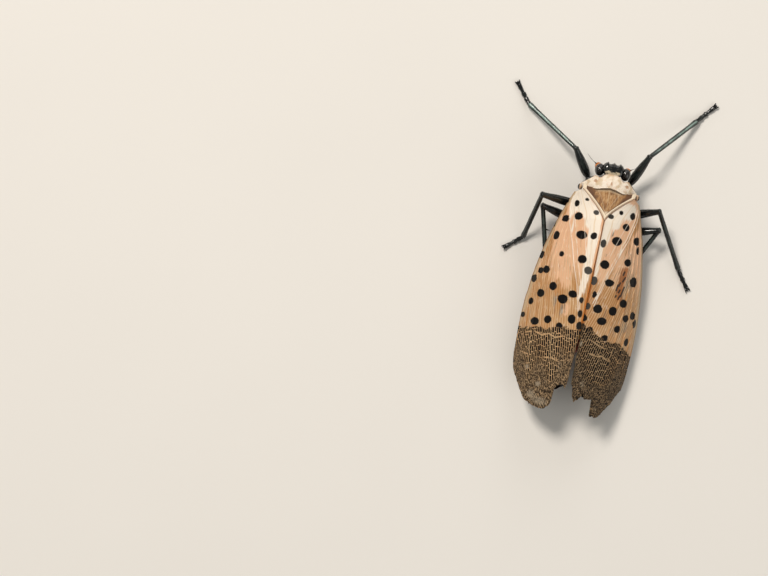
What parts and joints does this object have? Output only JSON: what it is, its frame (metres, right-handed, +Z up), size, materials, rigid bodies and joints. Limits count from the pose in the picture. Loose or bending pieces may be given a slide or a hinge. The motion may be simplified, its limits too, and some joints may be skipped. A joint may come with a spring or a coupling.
{
  "type": "spotted lanternfly insect model",
  "caption": "Life-size still model of a spotted planthopper standing with roof-like speckled wings folded over a banded abdomen and slender black legs spread on the floor.",
  "frame": {"origin": "on the floor, under the middle of the insect's box with its legs spread", "axes": "+X to the insect's right, +Y towards its head, +Z up from the floor"},
  "size_m": [0.0216, 0.0336, 0.0076],
  "materials": {
    "body_black": "glossy black cuticle",
    "eye": "dark polished facets",
    "antenna_orange": "matt orange cuticle",
    "pronotum_cream": "dry mottled cream cuticle",
    "mesonotum_brown": "dry brown cuticle with cream lines",
    "forewing": "leathery tan membrane with black spots and raised veins",
    "hindwing": "thin scarlet, white and black membrane",
    "abdomen": "yellow cuticle with black bands",
    "abdomen_tip": "dull red cuticle"
  },
  "bodies": {
    "root": {"head": "body_black", "eye_right": "eye", "eye_left": "eye", "antenna_right": "antenna_orange", "antenna_left": "antenna_orange", "beak": "body_black", "pronotum": "pronotum_cream", "prothorax": "body_black", "mesonotum": "mesonotum_brown", "tegula_right": "pronotum_cream", "tegula_left": "pronotum_cream", "thorax": "body_black", "abdomen": "abdomen", "abdomen_tip": "abdomen_tip", "forewing_right": "forewing", "forewing_left": "forewing", "hindwing_right": "hindwing", "hindwing_left": "hindwing", "leg_front_right_hip": "body_black", "leg_front_right_thigh": "body_black", "leg_front_right_shin": "body_black", "leg_front_right_foot": "body_black", "leg_front_left_hip": "body_black", "leg_front_left_thigh": "body_black", "leg_front_left_shin": "body_black", "leg_front_left_foot": "body_black", "leg_middle_right_hip": "body_black", "leg_middle_right_thigh": "body_black", "leg_middle_right_shin": "body_black", "leg_middle_right_foot": "body_black", "leg_middle_left_hip": "body_black", "leg_middle_left_thigh": "body_black", "leg_middle_left_shin": "body_black", "leg_middle_left_foot": "body_black", "leg_hind_right_hip": "body_black", "leg_hind_right_thigh": "body_black", "leg_hind_right_shin": "body_black", "leg_hind_right_foot": "body_black", "leg_hind_left_hip": "body_black", "leg_hind_left_thigh": "body_black", "leg_hind_left_shin": "body_black", "leg_hind_left_foot": "body_black"}
  },
  "joints": []
}
